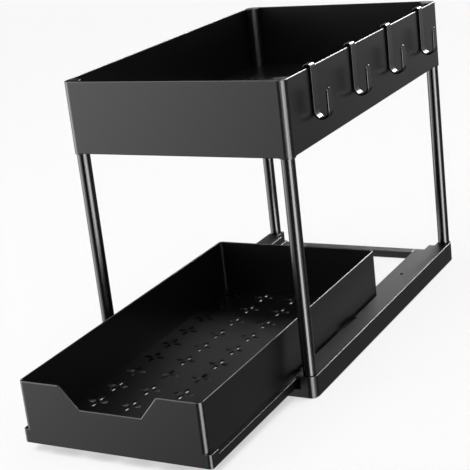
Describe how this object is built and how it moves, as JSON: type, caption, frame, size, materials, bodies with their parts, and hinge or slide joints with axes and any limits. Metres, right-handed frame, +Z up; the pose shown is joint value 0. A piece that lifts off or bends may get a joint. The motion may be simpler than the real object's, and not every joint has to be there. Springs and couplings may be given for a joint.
{
  "type": "pull-out spice rack",
  "caption": "Two-tier black kitchen rack: an upper tray on round posts, a base with side rails, a pull-out pierced drawer with a finger notch, and J hooks on the tray rim.",
  "frame": {"origin": "on the shelf, under the middle of the whole rack's box with the drawer pulled out as pictured", "axes": "+X to the hooks' side, +Y to the back, +Z up"},
  "size_m": [0.256, 0.5668, 0.312],
  "materials": {
    "tray": "satin black",
    "base": "satin black",
    "drawer": "satin black",
    "post": "gloss black",
    "hook": "semi-gloss black",
    "pad": "matt black",
    "screw": "zinc plated"
  },
  "bodies": {
    "frame": {"upper_tray": "tray", "post_front_left": "post", "post_front_right": "post", "post_rear_left": "post", "post_rear_right": "post", "left_rail": "base", "right_rail": "base", "front_crossbar": "base", "rear_crossbar": "base", "crossbar_screw_front_left": "screw", "crossbar_screw_front_right": "screw", "crossbar_screw_rear_left": "screw", "crossbar_screw_rear_right": "screw", "foot_pad_front_left": "pad", "foot_pad_front_right": "pad", "foot_pad_rear_left": "pad", "foot_pad_rear_right": "pad"},
    "drawer": {"drawer": "drawer"},
    "hook_1": {"hook_1": "hook"},
    "hook_2": {"hook_2": "hook"},
    "hook_3": {"hook_3": "hook"},
    "hook_4": {"hook_4": "hook"}
  },
  "joints": [
    {"name": "drawer_slide", "type": "slide", "parent": "frame", "child": "drawer", "axis": [0, -1, 0], "range_m": [-0.165, 0.1]},
    {"name": "hook_1_slide", "type": "slide", "parent": "frame", "child": "hook_1", "axis": [0, 1, 0], "range_m": [-0.036, 0.036]},
    {"name": "hook_2_slide", "type": "slide", "parent": "frame", "child": "hook_2", "axis": [0, 1, 0], "range_m": [-0.036, 0.036]},
    {"name": "hook_3_slide", "type": "slide", "parent": "frame", "child": "hook_3", "axis": [0, 1, 0], "range_m": [-0.036, 0.036]},
    {"name": "hook_4_slide", "type": "slide", "parent": "frame", "child": "hook_4", "axis": [0, 1, 0], "range_m": [-0.036, 0.036]}
  ]
}
